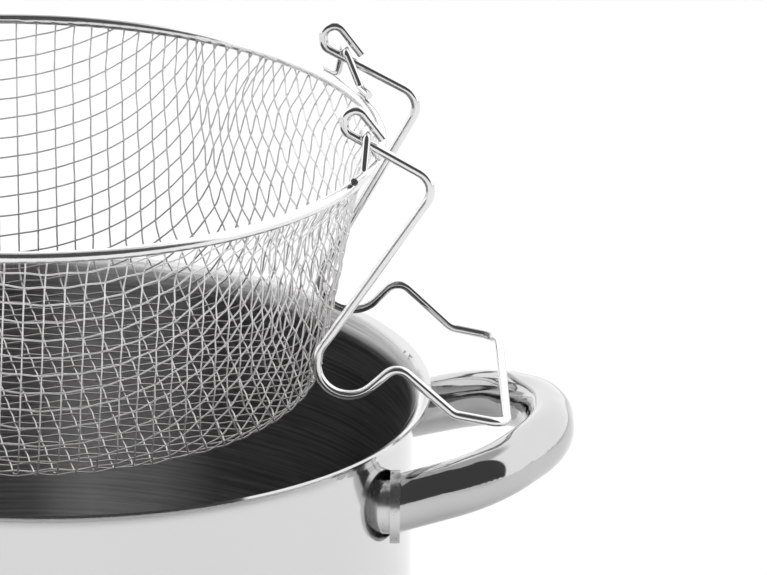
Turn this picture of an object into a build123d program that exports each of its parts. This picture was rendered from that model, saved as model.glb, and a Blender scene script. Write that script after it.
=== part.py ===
"""Stovetop deep-frying pot: flared steel pot with two tubular loop handles, and a woven-wire frying
basket that hangs above the pot on two hinged wire bows, whose feet stand on the pot's handles."""

import os
from math import asin, cos, degrees, radians, sin, sqrt, tan

from build123d import *

os.makedirs("parts", exist_ok=True)

# ---- driving dimensions, mm and degrees; origin at the centre of the pot's underside, +Z up ----
pot_inner_r = 120.0
pot_wall = 0.8
pot_height = 140.0  # table to the top of the flared lip
flare_r = 7.0  # inner radius of the lip's curl
flare_angle = 68.0  # how far the lip turns outwards
flare_run = 1.9  # straight edge past the curl
pot_corner_r = 10.0
base_r = 106.0
base_cap_wall = 0.6
base_core_thickness = 5.0

handle_foot_r = 118.0  # the loop's legs are set out from here, inside the wall line
handle_foot_half = 43.6  # half the distance between the two legs there
handle_foot_drop = 23.2  # below the lip
handle_rise = 14.6  # slope of the loop's plane
handle_reach = 48.4  # along that slope
handle_taper = 5.9  # how much each leg leans inwards
handle_shoulder = 28.0  # where each leg starts to turn towards the end
handle_end_half = 14.6  # half the end's straight before its corners are eased
handle_bend_r = 34.0
handle_half_width = 7.6  # tube section in the loop's plane
handle_half_height = 9.3  # tube section across it
handle_wall = 0.9
flange_half_width = 9.4
flange_half_height = 12.0
flange_face_x = 117.0  # the flange's flat outer face
flange_thickness = 3.2
flange_step = 3.0  # how much smaller its pad is

basket_shift = -8.9  # the hung basket's axis, off the pot's axis
basket_yaw = 4.9
rim_height = 83.5  # rim tube's centre above the lip
rim_r = 118.3
rim_tube_r = 1.9
rim_tube_wall = 0.4
rim_core_r = 1.45
mesh_foot_r = 98.5  # where the wall line meets the floor
mesh_foot_height = 1.0  # mesh floor above the lip
mesh_corner_r = 12.0
mesh_wall_top_r = 111.2
mesh_wall_top_height = 70.0
mesh_thickness = 0.4

bow_wire_r = 1.5
bow_half_span = 42.3  # from the middle to each arm
hinge_x = 104.6  # hinge at the front arm, from the pot's axis
hinge_height = 97.3  # above the lip
bow_twist = 7.2  # how much nearer the pot's axis the rear eye is than the front one
bow_left_swing = 1.3  # the left bow stands this much further out
# corners of a bow's arm: x from the pot's axis, height over the lip, how much less x the rear arm has,
# bend radius
bow_arm = [
    (110.0, 95.3, 7.2, 0),  # free tip of the eye
    (102.4, 105.3, 7.2, 3.2),
    (97.6, 103.6, 7.2, 3.2),
    (97.9, 97.7, 7.2, 3.4),
    (128.3, 80.5, 5.4, 7.0),  # upper bend
    (43.0, -48.4, -9.0, 10.4),  # valley
    (115.4, 19.2, 0.0, 5.0),  # hump
    (133.9, 2.7, 1.0, 6.0),  # elbow
    (151.0, -0.4, 2.8, 6.0),  # foot, where the crossbar starts
]
bracket_wire_r = 1.25
bracket_seat_out = 1.9  # the arch's feet lie this far outside the rim tube's centre
bracket_foot_half = 16.0
bracket_leg_half = 8.5
bracket_top_half = 3.6

lip = pot_height
basket_axis = Axis((basket_shift, 0, 0), (0, 0, 1))
span_centre = (hinge_x - basket_shift - bow_twist / 2) * tan(radians(basket_yaw))
half_span_y = bow_half_span * cos(radians(basket_yaw))


# ---- pot ----
floor_z = base_cap_wall + base_core_thickness
curl_z = lip - (flare_r * sin(radians(flare_angle)) + flare_run * cos(radians(flare_angle)))

with BuildPart() as pot_shell:
    with BuildSketch(Plane.XZ) as pot_profile:
        with BuildLine() as pot_line:
            pot_bottom = Line((0, floor_z + pot_wall / 2), (pot_inner_r - pot_corner_r, floor_z + pot_wall / 2))
            pot_corner = RadiusArc(
                pot_bottom @ 1,
                (pot_inner_r + pot_wall / 2, floor_z + pot_wall + pot_corner_r),
                -(pot_corner_r + pot_wall / 2),
            )
            pot_side = Line(pot_corner @ 1, (pot_inner_r + pot_wall / 2, curl_z))
            curl = JernArc(pot_side @ 1, (0, 1), flare_r, -flare_angle)
            Line(curl @ 1, (curl @ 1) + (curl % 1) * flare_run)
        trace(line_width=pot_wall)
        with Locations((0, lip / 2)):
            Rectangle(4 * pot_inner_r, 2 * lip, align=(Align.MIN, Align.CENTER), mode=Mode.INTERSECT)
    revolve(axis=Axis.Z)
pot_shell.part.label = "pot_shell"
export_step(pot_shell.part, "parts/pot_shell.step")

# ---- sandwich base: an aluminium disc inside a pressed steel cap ----
with BuildPart() as base_core:
    with BuildSketch(Plane.XY.offset(base_cap_wall)):
        Circle(base_r - base_cap_wall)
    extrude(amount=base_core_thickness)
    fillet(base_core.edges().group_by(Axis.Z)[0], 2.4)
base_core.part.label = "base_core"
export_step(base_core.part, "parts/base_core.step")

with BuildPart() as base_cap:
    with BuildSketch():
        Circle(base_r)
    extrude(amount=floor_z)
    fillet(base_cap.edges().group_by(Axis.Z)[0], 3.0)
    add(base_core.part, mode=Mode.SUBTRACT)
base_cap.part.label = "base_cap"
export_step(base_cap.part, "parts/base_cap.step")


# ---- loop handles: two pressed half shells each, welded to an oval flange on the pot's wall ----
wall_r = pot_inner_r + pot_wall
handle_plane = Plane(
    origin=(handle_foot_r, 0, lip - handle_foot_drop),
    x_dir=(cos(radians(handle_rise)), 0, sin(radians(handle_rise))),
    z_dir=(-sin(radians(handle_rise)), 0, cos(radians(handle_rise))),
)
taper = tan(radians(handle_taper))


def loop_line():
    """The loop's centre line in its own plane, from one foot round to the other."""
    return FilletPolyline(
        (-18, -handle_foot_half - 18 * taper),
        (handle_shoulder, -handle_foot_half + handle_shoulder * taper),
        (handle_reach, -handle_end_half),
        (handle_reach, handle_end_half),
        (handle_shoulder, handle_foot_half - handle_shoulder * taper),
        (-18, handle_foot_half + 18 * taper),
        radius=handle_bend_r,
    )


def half_shell(upper):
    """Half of the hollow loop, above or below its seam."""
    with BuildPart() as half:
        with BuildLine(handle_plane) as centre:
            loop_line()
        start = centre.wires()[0]
        section_plane = Plane(origin=start @ 0, x_dir=handle_plane.z_dir.cross(start % 0), z_dir=start % 0)
        with BuildSketch(section_plane) as section:
            Ellipse(handle_half_width, handle_half_height)
            Ellipse(handle_half_width - handle_wall, handle_half_height - handle_wall, mode=Mode.SUBTRACT)
            keep = Align.MIN if upper else Align.MAX
            Rectangle(60, 60, align=(Align.CENTER, keep), mode=Mode.INTERSECT)
        sweep(path=start)
        split(bisect_by=Plane(origin=(flange_face_x, 0, 0), z_dir=(1, 0, 0)), keep=Keep.TOP)
    return half.part


def foot_flange(side):
    """Flat oval plate under one foot of the loop, on a slightly smaller pad that meets the round wall."""
    foot_x = sqrt(wall_r**2 - handle_foot_half**2) - handle_foot_r
    foot_y = side * (handle_foot_half - foot_x * taper)
    foot_z = lip - handle_foot_drop + foot_x * tan(radians(handle_rise))
    face = Plane(origin=(flange_face_x, foot_y, foot_z), x_dir=(0, 1, 0), z_dir=(1, 0, 0))
    with BuildPart() as flange:
        with BuildSketch(face.offset(-40)):
            Ellipse(flange_half_width - flange_step, flange_half_height - flange_step)
        extrude(amount=38)
        with BuildSketch(Plane.XY.offset(lip - 80)):
            Circle(wall_r)
        extrude(amount=120, mode=Mode.SUBTRACT)
        with BuildSketch(face):
            Ellipse(flange_half_width, flange_half_height)
        extrude(amount=-flange_thickness)
        with BuildSketch(Plane.XY.offset(lip - 80)):
            Circle(wall_r)
        extrude(amount=120, mode=Mode.SUBTRACT)
    return flange.part


with BuildPart() as handle_right_upper:
    add(half_shell(True))
handle_right_upper.part.label = "handle_right_upper"
export_step(handle_right_upper.part, "parts/handle_right_upper.step")

with BuildPart() as handle_right_lower:
    add(half_shell(False))
handle_right_lower.part.label = "handle_right_lower"
export_step(handle_right_lower.part, "parts/handle_right_lower.step")

with BuildPart() as handle_left_upper:
    add(handle_right_upper.part.rotate(Axis.Z, 180))
handle_left_upper.part.label = "handle_left_upper"
export_step(handle_left_upper.part, "parts/handle_left_upper.step")

with BuildPart() as handle_left_lower:
    add(handle_right_lower.part.rotate(Axis.Z, 180))
handle_left_lower.part.label = "handle_left_lower"
export_step(handle_left_lower.part, "parts/handle_left_lower.step")

with BuildPart() as flange_right_front:
    add(foot_flange(-1))
flange_right_front.part.label = "flange_right_front"
export_step(flange_right_front.part, "parts/flange_right_front.step")

with BuildPart() as flange_right_rear:
    add(foot_flange(1))
flange_right_rear.part.label = "flange_right_rear"
export_step(flange_right_rear.part, "parts/flange_right_rear.step")

with BuildPart() as flange_left_front:
    add(flange_right_rear.part.rotate(Axis.Z, 180))
flange_left_front.part.label = "flange_left_front"
export_step(flange_left_front.part, "parts/flange_left_front.step")

with BuildPart() as flange_left_rear:
    add(flange_right_front.part.rotate(Axis.Z, 180))
flange_left_rear.part.label = "flange_left_rear"
export_step(flange_left_rear.part, "parts/flange_left_rear.step")


# ---- basket: rolled rim over a core wire, and the drawn mesh as one thin skin ----
rim_z = lip + rim_height
basket_plane = Plane(origin=(basket_shift, 0, 0), z_dir=(0, -1, 0), x_dir=(1, 0, 0))

with BuildPart() as basket_rim:
    with BuildSketch(basket_plane):
        with Locations((rim_r, rim_z)):
            Circle(rim_tube_r)
            Circle(rim_tube_r - rim_tube_wall, mode=Mode.SUBTRACT)
        with Locations(Location((rim_r, rim_z), -18)):
            Rectangle(1.6, 6, align=(Align.CENTER, Align.MAX), mode=Mode.SUBTRACT)
    revolve(axis=basket_axis)
basket_rim.part.label = "basket_rim"
export_step(basket_rim.part, "parts/basket_rim.step")

with BuildPart() as rim_core:
    with BuildSketch(basket_plane):
        with Locations((rim_r, rim_z)):
            Circle(rim_core_r)
    revolve(axis=basket_axis)
rim_core.part.label = "rim_core"
export_step(rim_core.part, "parts/rim_core.step")

slot_angle = radians(-108)
mesh_top = (rim_r + 1.7 * cos(slot_angle), rim_z + 1.7 * sin(slot_angle))

with BuildPart() as basket_mesh:
    with BuildSketch(basket_plane):
        with BuildLine() as skin_line:
            FilletPolyline(
                (0, lip + mesh_foot_height),
                (mesh_foot_r, lip + mesh_foot_height),
                (mesh_wall_top_r, lip + mesh_wall_top_height),
                mesh_top,
                radius=mesh_corner_r,
            )
        trace(line_width=mesh_thickness)
        Rectangle(400, 800, align=(Align.MIN, Align.CENTER), mode=Mode.INTERSECT)
    revolve(axis=basket_axis)
basket_mesh.part.label = "basket_mesh"
export_step(basket_mesh.part, "parts/basket_mesh.step")


# ---- bent wires ----
def bent_wire(corners, radii, wire_r):
    """A round wire along straight runs, each inner corner eased by its own bend radius."""
    points = [Vector(*corner) for corner in corners]
    with BuildPart() as wire:
        with BuildLine() as run:
            here = points[0]
            for before, corner, after, bend in zip(points, points[1:], points[2:], radii):
                into = (corner - before).normalized()
                out = (after - corner).normalized()
                half_turn = into.get_angle(out) / 2
                setback = bend * tan(radians(half_turn))
                first, last = corner - into * setback, corner + out * setback
                inward = (out - into).normalized()
                middle = corner + inward * bend * (1 / cos(radians(half_turn)) - 1)
                if (first - here).length > 1e-4:
                    Line(here, first)
                ThreePointArc(first, middle, last)
                here = last
            Line(here, points[-1])
        path = run.wires()[0]
        with BuildSketch(Plane(origin=path @ 0, z_dir=path % 0)):
            Circle(wire_r)
        sweep(path=path)
    return wire.part


hinge_front = Vector(hinge_x, span_centre - half_span_y, lip + hinge_height)
hinge_rear = Vector(hinge_x - bow_twist, span_centre + half_span_y, lip + hinge_height)
hinge_axis = Axis(hinge_front, hinge_rear - hinge_front)


def bracket(side):
    """A wire arch on the rim that one eye of the right bow hooks over; its feet lie along the rim."""
    seat_r = rim_r + bracket_seat_out
    seat_z = rim_z + sqrt((rim_tube_r + bracket_wire_r + 0.03) ** 2 - bracket_seat_out**2)
    azimuth = basket_yaw + side * degrees(asin(bow_half_span / rim_r))
    hinge = hinge_rear if side > 0 else hinge_front

    def seat(along):
        flat = Vector(sqrt(seat_r**2 - along**2), along, seat_z)
        return flat.rotate(Axis.Z, azimuth) + Vector(basket_shift, 0, 0)

    corners = [
        seat(-bracket_foot_half),
        seat(-bracket_leg_half),
        hinge - hinge_axis.direction * bracket_top_half,
        hinge + hinge_axis.direction * bracket_top_half,
        seat(bracket_leg_half),
        seat(bracket_foot_half),
    ]
    return bent_wire(corners, (2.6, 1.6, 1.6, 2.6), bracket_wire_r)


def bow():
    """The right-hand bow: two arms with hooked eyes, joined by the crossbar that stands on the handle."""
    front_y, rear_y = hinge_front.Y, hinge_rear.Y
    front = [(x, front_y, lip + z) for x, z, rear_shift, bend in bow_arm]
    rear = [(x - rear_shift, rear_y, lip + z) for x, z, rear_shift, bend in bow_arm]
    bends = [bend for x, z, rear_shift, bend in bow_arm[1:]]
    return bent_wire(front + rear[::-1], bends + bends[::-1], bow_wire_r)


with BuildPart() as bracket_right_front:
    add(bracket(-1))
bracket_right_front.part.label = "bracket_right_front"
export_step(bracket_right_front.part, "parts/bracket_right_front.step")

with BuildPart() as bracket_right_rear:
    add(bracket(1))
bracket_right_rear.part.label = "bracket_right_rear"
export_step(bracket_right_rear.part, "parts/bracket_right_rear.step")

with BuildPart() as bracket_left_front:
    add(bracket_right_rear.part.rotate(basket_axis, 180))
bracket_left_front.part.label = "bracket_left_front"
export_step(bracket_left_front.part, "parts/bracket_left_front.step")

with BuildPart() as bracket_left_rear:
    add(bracket_right_front.part.rotate(basket_axis, 180))
bracket_left_rear.part.label = "bracket_left_rear"
export_step(bracket_left_rear.part, "parts/bracket_left_rear.step")

with BuildPart() as bow_right:
    add(bow())
bow_right.part.label = "bow_right"
export_step(bow_right.part, "parts/bow_right.step")

with BuildPart() as bow_left:
    add(bow_right.part.rotate(hinge_axis, -bow_left_swing).rotate(basket_axis, 180))
bow_left.part.label = "bow_left"
export_step(bow_left.part, "parts/bow_left.step")
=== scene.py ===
"""Looks of the stovetop deep fryer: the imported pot, rim, brackets and bows keep their CAD meshes and get
steel materials, and the basket's skin is replaced by its woven wires."""

import math

import bpy
import numpy as np
from mathutils import Matrix, Vector


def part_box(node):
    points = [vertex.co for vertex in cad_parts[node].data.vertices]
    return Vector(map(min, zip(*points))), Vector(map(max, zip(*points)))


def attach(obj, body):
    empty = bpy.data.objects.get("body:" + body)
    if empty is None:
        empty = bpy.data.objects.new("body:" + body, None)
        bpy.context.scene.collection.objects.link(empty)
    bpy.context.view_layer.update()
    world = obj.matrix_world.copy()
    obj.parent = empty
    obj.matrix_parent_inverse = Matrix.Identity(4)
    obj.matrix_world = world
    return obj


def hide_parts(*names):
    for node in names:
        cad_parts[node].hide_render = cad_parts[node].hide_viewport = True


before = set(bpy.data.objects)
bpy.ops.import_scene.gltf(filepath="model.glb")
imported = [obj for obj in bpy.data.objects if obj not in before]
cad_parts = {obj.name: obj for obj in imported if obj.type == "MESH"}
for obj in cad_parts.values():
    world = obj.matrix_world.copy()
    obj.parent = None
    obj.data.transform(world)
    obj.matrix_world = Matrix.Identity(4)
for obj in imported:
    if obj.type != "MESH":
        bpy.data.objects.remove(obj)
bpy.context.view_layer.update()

# ---- places read from the CAD, in metres ----
lip_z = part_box("pot_shell")[1][2]
rim_low, rim_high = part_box("basket_rim")
axis_x = (rim_low[0] + rim_high[0]) / 2
rim_z = (rim_low[2] + rim_high[2]) / 2
rim_tube_r = 0.0019
rim_r = (rim_high[0] - rim_low[0]) / 2 - rim_tube_r


# ---- mesh helpers ----
def mesh_object(name, verts, faces, material, smooth=True):
    mesh = bpy.data.meshes.new(name)
    mesh.from_pydata([tuple(v) for v in verts], [], [tuple(f) for f in faces])
    mesh.update()
    if smooth:
        mesh.polygons.foreach_set("use_smooth", [True] * len(mesh.polygons))
    obj = bpy.data.objects.new(name, mesh)
    bpy.context.scene.collection.objects.link(obj)
    mesh.materials.append(material)
    return obj


def tube(points, radius, sides, first_index):
    """Vertices and faces of a round wire along points, closed at both ends."""
    points = np.asarray(points)
    run = np.gradient(points, axis=0)
    run /= np.linalg.norm(run, axis=1)[:, None]
    side = np.cross(run[0], (0.0, 0.0, 1.0))
    if np.linalg.norm(side) < 1e-3:
        side = np.cross(run[0], (0.0, 1.0, 0.0))
    turn = np.arange(sides) * 2 * math.pi / sides
    verts = []
    for point, along in zip(points, run):
        side = side - along * side.dot(along)
        side /= np.linalg.norm(side)
        up = np.cross(along, side)
        verts.append(point + radius * (np.cos(turn)[:, None] * side + np.sin(turn)[:, None] * up))
    verts = np.concatenate(verts)
    ring = np.arange(sides)
    faces = []
    for k in range(len(points) - 1):
        a = first_index + k * sides
        for j in ring:
            n = (j + 1) % sides
            faces.append((a + j, a + n, a + sides + n, a + sides + j))
    last = first_index + (len(points) - 1) * sides
    faces.append(tuple(first_index + j for j in ring[::-1]))
    faces.append(tuple(last + j for j in ring))
    return verts, faces


# ---- node helpers ----
class Nodes:
    """A short way to build a node tree, of a material or of the world."""

    def __init__(self, owner, shader):
        owner.use_nodes = True
        self.owner = owner
        self.tree = owner.node_tree
        self.shader = self.tree.nodes[shader]

    def add(self, kind, inputs=(), **settings):
        node = self.tree.nodes.new(kind)
        for key, value in settings.items():
            setattr(node, key, value)
        for key, value in dict(inputs).items():
            self.feed(node.inputs[key], value)
        return node

    def feed(self, socket, value):
        if isinstance(value, bpy.types.NodeSocket):
            self.tree.links.new(value, socket)
        else:
            socket.default_value = value

    def math(self, operation, *values, clamp=False):
        node = self.add("ShaderNodeMath", operation=operation, use_clamp=clamp)
        for socket, value in zip(node.inputs, values):
            self.feed(socket, value)
        return node.outputs[0]

    def place(self):
        return self.add("ShaderNodeTexCoord").outputs["Object"]

    def split(self, vector):
        return self.add("ShaderNodeSeparateXYZ", {0: vector}).outputs

    def join(self, x, y, z):
        return self.add("ShaderNodeCombineXYZ", {0: x, 1: y, 2: z}).outputs[0]

    def noise(self, vector, scale, detail=2.0, roughness=0.5):
        return self.add(
            "ShaderNodeTexNoise", {"Vector": vector, "Scale": scale, "Detail": detail, "Roughness": roughness}
        ).outputs["Fac"]

    def remap(self, value, low, high, out_low, out_high, **settings):
        node = self.add("ShaderNodeMapRange", clamp=True, **settings)
        for socket, number in zip(node.inputs, (value, low, high, out_low, out_high)):
            self.feed(socket, number)
        return node.outputs[0]

    def mix(self, factor, first, second):
        node = self.add("ShaderNodeMix", data_type="RGBA")
        self.feed(node.inputs["Factor"], factor)
        self.feed(node.inputs["A"], first)
        self.feed(node.inputs["B"], second)
        return node.outputs["Result"]

    def bump(self, height, strength, distance):
        node = self.add("ShaderNodeBump", {"Height": height, "Strength": strength, "Distance": distance})
        self.feed(self.shader.inputs["Normal"], node.outputs[0])

    def set(self, **sockets):
        for key, value in sockets.items():
            self.feed(self.shader.inputs[key.replace("_", " ")], value)
        return self


def new_material(name):
    return Nodes(bpy.data.materials.new(name), "Principled BSDF")


def grey(value, warm=0.0):
    """A grey colour, browner with more warm."""
    return (value * (1 + warm), value, value * (1 - warm), 1.0)


# ---- materials ----
def pot_steel():
    """Polished outside, brushed round inside: the side is told by which way the surface faces."""
    polish_depth_front, polish_depth_back = 0.0032, 0.0010  # how far below the lip the inner polish starts
    lip_band_low, lip_band_high = 0.0065, 0.0045  # how far below the lip its darker band fades in
    brushing = 1100.0  # fineness of the brushed lines, per metre
    # bearing of the painted highlight wedges inside the pot, in radians
    painted_highlight_bearing = 1.34
    n = new_material("pot_steel")
    x, y, z = n.split(n.place())
    angle = n.math("ARCTAN2", y, x)
    radius = n.math("SQRT", n.math("ADD", n.math("MULTIPLY", x, x), n.math("MULTIPLY", y, y)))

    facing = n.split(n.add("ShaderNodeNewGeometry").outputs["Normal"])
    outward = n.math(
        "DIVIDE",
        n.math("ADD", n.math("MULTIPLY", facing[0], x), n.math("MULTIPLY", facing[1], y)),
        n.math("ADD", radius, 1e-4),
    )
    wall_face = n.remap(outward, -0.05, 0.05, 1.0, 0.0)
    floor_face = n.math("MULTIPLY", n.remap(facing[2], 0.6, 0.7, 0.0, 1.0), n.remap(z, 0.02, 0.03, 1.0, 0.0))
    polish_edge = n.remap(y, -0.08, 0.08, lip_z - polish_depth_front, lip_z - polish_depth_back)
    polished = n.remap(n.math("SUBTRACT", z, polish_edge), -0.0005, 0.0005, 0.0, 1.0)
    inside = n.math("MULTIPLY", n.math("MAXIMUM", wall_face, floor_face), n.math("SUBTRACT", 1.0, polished))

    line_place = n.join(
        n.math("MULTIPLY", angle, 2.6), n.math("MULTIPLY", z, brushing), n.math("MULTIPLY", radius, brushing)
    )
    lines = n.noise(line_place, 1.0, 3.0, 0.6)
    cloud = n.noise(n.join(n.math("MULTIPLY", angle, 1.4), n.math("MULTIPLY", z, 9.0), 0.0), 1.0, 2.0)

    # Painted highlight: two opposite near-white wedges in the inside's colour stand in for the light that
    # brushing round the inside throws.
    turn = n.math("ABSOLUTE", n.math("SINE", n.math("SUBTRACT", angle, painted_highlight_bearing)))
    painted_highlight_wedge = n.math("MULTIPLY", n.remap(turn, 0.10, 0.26, 1.0, 0.0), n.remap(lines, 0.3, 0.7, 0.5, 1.0))
    dull = n.mix(n.remap(lines, 0.36, 0.66, 0.0, 1.0), grey(0.28), grey(0.50))
    inner_colour_with_painted_highlight = n.mix(painted_highlight_wedge, dull, grey(0.95))

    body_colour = n.mix(cloud, grey(0.62), grey(0.66))
    near_lip = n.remap(z, lip_z - lip_band_low, lip_z - lip_band_high, 0.0, 1.0)
    outer_colour = n.mix(near_lip, body_colour, grey(0.58))
    brushed_roughness = n.math("MULTIPLY", inside, n.remap(lines, 0.3, 0.7, 0.20, 0.32))
    n.set(
        Base_Color=n.mix(inside, outer_colour, inner_colour_with_painted_highlight),
        Metallic=1.0,
        Roughness=n.math("ADD", brushed_roughness, n.remap(cloud, 0.3, 0.7, 0.075, 0.11)),
    )
    n.bump(n.math("MULTIPLY", lines, inside), 0.25, 0.00004)
    return n.owner


def polished_steel(name, low, high, rough_low, rough_high, scale=40.0, bump=0.05):
    """Mirror-bright steel with faint polishing waves and slight changes of gloss."""
    n = new_material(name)
    where = n.place()
    cloud = n.noise(where, scale, 3.0)
    haze = n.noise(where, scale * 12, 2.0)
    n.set(
        Base_Color=n.mix(cloud, grey(low), grey(high)),
        Metallic=1.0,
        Roughness=n.remap(haze, 0.3, 0.7, rough_low, rough_high),
    )
    n.bump(haze, bump, 0.00003)
    return n.owner


def wire_grain(n):
    """Place, soft patches and fine scratches, which both wire materials share."""
    where = n.place()
    return where, n.noise(where, 60.0, 2.0), n.noise(where, 1800.0, 3.0, 0.6)


def drawn_wire(name, low, high, rough_low, rough_high):
    """Bright drawn wire: fine scratches and a little darkening in patches."""
    n = new_material(name)
    _, patch, scratch = wire_grain(n)
    n.set(
        Base_Color=n.mix(patch, grey(low), grey(high, 0.005)),
        Metallic=1.0,
        Roughness=n.remap(scratch, 0.3, 0.7, rough_low, rough_high),
    )
    n.bump(scratch, 0.12, 0.00002)
    return n.owner


def cloth_steel():
    """Woven wire: pale near the rim, darker and faintly brown towards the basket's floor."""
    stain_height = 0.062  # above the lip, where the stain has faded out
    n = new_material("mesh_steel")
    where, patch, scratch = wire_grain(n)
    clean = n.mix(patch, grey(0.80), grey(0.92))
    stained = n.mix(patch, grey(0.40, 0.04), grey(0.58, 0.02))
    n.set(
        Base_Color=n.mix(n.remap(n.split(where)[2], lip_z, lip_z + stain_height, 0.0, 1.0), stained, clean),
        Metallic=0.7,
        Roughness=n.remap(scratch, 0.3, 0.7, 0.34, 0.46),
    )
    n.bump(scratch, 0.12, 0.00002)
    return n.owner


def floor_white():
    n = new_material("floor_white")
    n.set(Base_Color=n.mix(n.noise(n.place(), 3.0), grey(0.93), grey(0.95)), Roughness=0.9)
    return n.owner


steel_pot = pot_steel()
steel_base = polished_steel("base_steel", 0.6, 0.68, 0.16, 0.24)
steel_handle = polished_steel("handle_steel", 0.46, 0.55, 0.05, 0.09, 30.0)
steel_rim = drawn_wire("rim_steel", 0.76, 0.86, 0.14, 0.22)
steel_flange = polished_steel("flange_steel", 0.58, 0.66, 0.20, 0.28, 60.0)
steel_wire = drawn_wire("wire_steel", 0.72, 0.8, 0.07, 0.14)
steel_mesh = cloth_steel()
aluminium = polished_steel("core_aluminium", 0.74, 0.8, 0.28, 0.4)

# Each node takes the material of the first start of a name that fits it.
dress = {
    "pot_shell": steel_pot,
    "base_core": aluminium,
    "base_cap": steel_base,
    "basket_rim": steel_rim,
    "rim_core": steel_rim,
    "basket_mesh": steel_mesh,
    "handle": steel_handle,
    "flange": steel_flange,
    "bracket": steel_wire,
    "bow": steel_wire,
}
for name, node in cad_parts.items():
    node.data.materials.clear()
    node.data.materials.append(next(dress[start] for start in dress if name.startswith(start)))


# ---- woven wires of the basket ----
# A flat square cloth is drawn into a pot shape: squares stay squares on the floor and towards the front,
# back and sides, and shear into narrow diamonds at the four corners between them.
foot_r = 0.0985
foot_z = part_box("basket_mesh")[0][2] + 0.0002
wall_top_r, wall_top_z = 0.1112, lip_z + 0.0700
rim_slot, rim_slot_bearing = 0.0017, math.radians(-108)  # where the cloth enters the rim's tube
end_r = rim_r + rim_slot * math.cos(rim_slot_bearing)
end_z = rim_z + rim_slot * math.sin(rim_slot_bearing)
corner_r = 0.012
cloth_yaw = math.radians(8.5)
pitch = 0.0064
wire_r = 0.00029
weave = 0.0003  # how far a wire swings to each side
wall_height = 0.08
fan_share = 0.22  # how strongly the wires spread beside the four corners
corner_half_width = 0.016
normal_reach = 0.0008  # half the length over which the skin's slope is taken
cloth_half_width = 0.25  # wires further out than this never reach the basket
cloth_reach = 0.4  # longer than any wire's half
wire_sides = 6


def eased(corners, radius, arc_points=25):
    """The corners' polyline with each inner corner rounded by an arc."""
    corners = [np.array(c, float) for c in corners]
    line = [corners[0]]
    for before, corner, after in zip(corners, corners[1:], corners[2:]):
        into = (corner - before) / np.linalg.norm(corner - before)
        out = (after - corner) / np.linalg.norm(after - corner)
        half = math.acos(max(-1.0, min(1.0, float(into @ out)))) / 2
        inward = (out - into) / np.linalg.norm(out - into)
        onward = (into + out) / np.linalg.norm(into + out)
        middle = corner + inward * radius / math.cos(half)
        for t in np.linspace(-half, half, arc_points):
            line.append(middle - radius * (inward * math.cos(t) - onward * math.sin(t)))
    line.append(corners[-1])
    return np.array(line)


meridian = eased([(0, foot_z), (foot_r, foot_z), (wall_top_r, wall_top_z), (end_r, end_z)], corner_r)
reach = np.concatenate([[0], np.cumsum(np.linalg.norm(np.diff(meridian, axis=0), axis=1))])
lean = math.atan2(wall_top_r - foot_r, wall_top_z - foot_z)
half_turn = (math.pi / 2 - lean) / 2
setback = corner_r * math.tan(half_turn)
squeeze = corner_r * half_turn / setback
total = reach[-1]
height_max = total - foot_r + 2 * setback * (1 - squeeze)


def rise(t):
    """What one coordinate of the cloth adds to its height up the wall."""
    return np.where(t <= foot_r, t**2 / (2 * foot_r), t - foot_r / 2)


def bound(t):
    """A coordinate as a share of the floor's radius, at most 1."""
    return np.minimum(t / foot_r, 1.0)


def swing(t):
    """What one coordinate of the cloth adds to its way round the wall."""
    return foot_r / 2 * (bound(t) * np.sqrt(1 - bound(t) ** 2) + np.arcsin(bound(t)))


def on_skin(p, q):
    """Place and outward normal of the cloth's point (p, q), arrays in metres from the cloth's middle."""
    a, b = np.abs(p), np.abs(q)
    flat = np.hypot(p, q)
    height = rise(a) + rise(b) - foot_r / 2
    over_a, over_b = np.maximum(a - foot_r, 0), np.maximum(b - foot_r, 0)
    fan = fan_share * (over_b - over_a) * (bound(a) * bound(b)) ** 3
    off = swing(b) - swing(a) + fan  # how far round from the corner line, in cloth lengths
    wall_r = foot_r + (wall_top_r - foot_r) * np.clip(height / wall_height, 0, 1)
    slack = math.pi / 4 * (1 - foot_r / wall_r)
    azimuth_wall = math.pi / 4 + off / wall_r + slack * np.tanh(off / corner_half_width)
    azimuth_wall = np.where(p < 0, math.pi - azimuth_wall, azimuth_wall)
    azimuth_wall = np.where(q < 0, -azimuth_wall, azimuth_wall)
    on_wall = flat > foot_r
    azimuth = np.where(on_wall, azimuth_wall, np.arctan2(q, p)) + cloth_yaw
    s = np.where(on_wall, foot_r + height, flat)
    low, high = foot_r - setback, foot_r + setback
    s = np.where(s < low, s, np.where(s < high, low + (s - low) * squeeze, s - (1 - squeeze) * 2 * setback))
    r, z = np.interp(s, reach, meridian[:, 0]), np.interp(s, reach, meridian[:, 1])
    ahead = np.minimum(s + normal_reach, total)
    behind = np.maximum(ahead - 2 * normal_reach, 0)
    dr = np.interp(ahead, reach, meridian[:, 0]) - np.interp(behind, reach, meridian[:, 0])
    dz = np.interp(ahead, reach, meridian[:, 1]) - np.interp(behind, reach, meridian[:, 1])
    size = np.hypot(dr, dz)
    cos, sin = np.cos(azimuth), np.sin(azimuth)
    place = np.stack([axis_x + r * cos, r * sin, z], axis=1)
    normal = np.stack([dz / size * cos, dz / size * sin, -dr / size], axis=1)
    return place, normal


def free_limit(fixed):
    """How far along its own direction a wire runs before it reaches the rim; None if it starts beyond it."""
    start = rise(abs(fixed)) - foot_r / 2
    if start >= height_max:
        return None
    low, high = 0.0, cloth_reach
    for _ in range(40):
        middle = (low + high) / 2
        inside = math.hypot(fixed, middle) <= foot_r or start + rise(middle) < height_max
        low, high = (middle, high) if inside else (low, middle)
    return low


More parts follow.
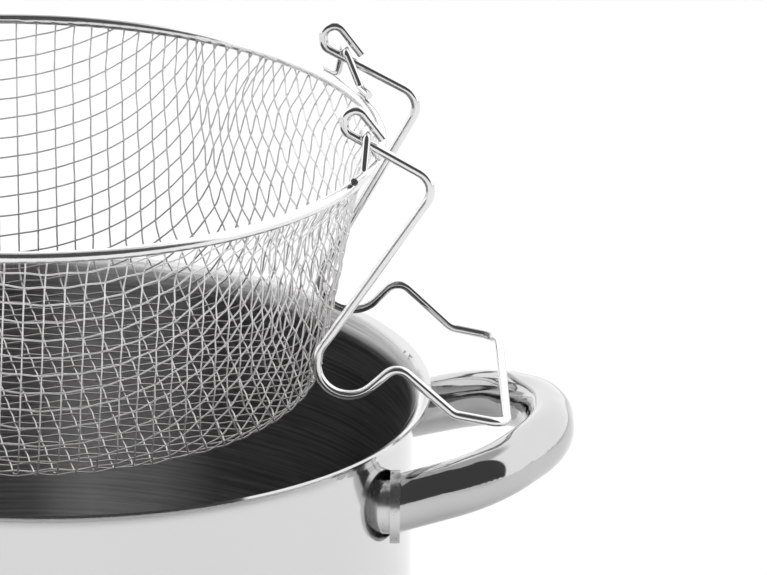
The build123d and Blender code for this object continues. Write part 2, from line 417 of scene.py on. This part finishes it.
def woven(name, lengthwise):
    """All wires of one direction, each bent over and under the ones it crosses."""
    verts, faces, count = [], [], 0
    wires_each_way = int(cloth_half_width / pitch)
    for k in range(-wires_each_way, wires_each_way + 1):
        fixed = (k + 0.5) * pitch
        limit = free_limit(fixed)
        if limit is None:
            continue
        steps = max(6, int(2 * limit / (pitch / 4)))
        free = np.linspace(-limit, limit, steps + 1)
        held = np.full_like(free, fixed)
        place, normal = on_skin(held, free) if lengthwise else on_skin(free, held)
        side = 1 if (k % 2 == 0) == lengthwise else -1
        place = place + normal * (weave * side * np.sin(math.pi * free / pitch))[:, None]
        ring, skin = tube(place, wire_r, wire_sides, count)
        verts.append(ring)
        faces.extend(skin)
        count += len(ring)
    obj = mesh_object(name, np.concatenate(verts), faces, steel_mesh)
    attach(obj, "basket")
    return obj


warp = woven("basket_wires_warp", True)
woven("basket_wires_weft", False)
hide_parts("basket_mesh")

# ---- floor, light and camera ----
floor_half = 6.0
floor_corners = [(floor_half * x, floor_half * y, 0) for x, y in ((-1, -1), (1, -1), (1, 1), (-1, 1))]
mesh_object("floor", floor_corners, [(0, 1, 2, 3)], floor_white(), smooth=False)
bpy.context.scene.view_settings.view_transform = "Standard"

# A white studio dome with a dark card in front, from eye level nearly to the top, and a greyer ceiling.
dome_level, card_depth, ceiling_depth = 1.4, 1.32, 0.75
world = bpy.data.worlds.new("studio")
bpy.context.scene.world = world
sky = Nodes(world, "Background")
toward = sky.split(sky.add("ShaderNodeTexCoord").outputs["Generated"])
bearing = sky.math("ARCTAN2", toward[0], sky.math("MULTIPLY", toward[1], -1.0))  # 0 in front, + to the right
height = sky.math("ARCSINE", toward[2])


def sky_step(value, start, end):
    """0 at start, 1 at end."""
    return sky.remap(value, start, end, 0.0, 1.0, interpolation_type="SMOOTHSTEP")


def patch(bearing_low, bearing_high, height_low, height_high, soft):
    """1 between the two bearings and the two heights, in radians, with soft edges."""
    across = sky.math(
        "MULTIPLY",
        sky_step(bearing, bearing_low - soft, bearing_low + soft),
        sky_step(bearing, bearing_high + soft, bearing_high - soft),
    )
    upward = sky.math(
        "MULTIPLY",
        sky_step(height, height_low - soft, height_low + soft),
        sky_step(height, height_high + soft, height_high - soft),
    )
    return sky.math("MULTIPLY", across, upward)


card = sky.math("MULTIPLY", patch(-1.2, 1.12, 0.0, 1.42, 0.015), card_depth)
ceiling = sky.math("MULTIPLY", sky_step(height, 1.05, 1.25), ceiling_depth)
sky.feed(sky.shader.inputs["Strength"], sky.math("SUBTRACT", dome_level, sky.math("MAXIMUM", card, ceiling)))
sky.feed(sky.shader.inputs["Color"], grey(1.0))


def soft_box(name, place, size, power):
    """A soft lamp turned to the pot, left out of reflections."""
    aim = Vector((0, 0, 0.1))
    lamp = bpy.data.lights.new(name, "AREA")
    lamp.shape = "RECTANGLE"
    lamp.size, lamp.size_y = size
    lamp.energy = power
    obj = bpy.data.objects.new(name, lamp)
    obj.location = place
    obj.rotation_euler = (aim - Vector(place)).to_track_quat("-Z", "Y").to_euler()
    obj.visible_glossy = False
    bpy.context.scene.collection.objects.link(obj)


soft_box("key", (-1.2, -0.6, 1.9), (1.2, 0.9), 16)
soft_box("fill", (1.6, 0.4, 1.6), (1.0, 0.8), 8)

# From far in front and above, looking down on the right half of the rim, with a very slight roll.
elevation = math.radians(19.23)
roll = math.radians(0.77)
distance = 6.4
view_width = 0.24544  # metres across the picture at the aim
aim = Vector((0.1108, 0.0, lip_z + 0.0336))
back = Vector((0, -math.cos(elevation), math.sin(elevation)))
camera_data = bpy.data.cameras.new("camera")
camera = bpy.data.objects.new("camera", camera_data)
bpy.context.scene.collection.objects.link(camera)
camera.matrix_world = (
    Matrix.Translation(aim + back * distance)
    @ back.to_track_quat("Z", "Y").to_matrix().to_4x4()
    @ Matrix.Rotation(roll, 4, "Z")
)
camera_data.sensor_width = 36.0
camera_data.lens = camera_data.sensor_width * distance / view_width
camera_data.clip_end = 100
bpy.context.scene.camera = camera
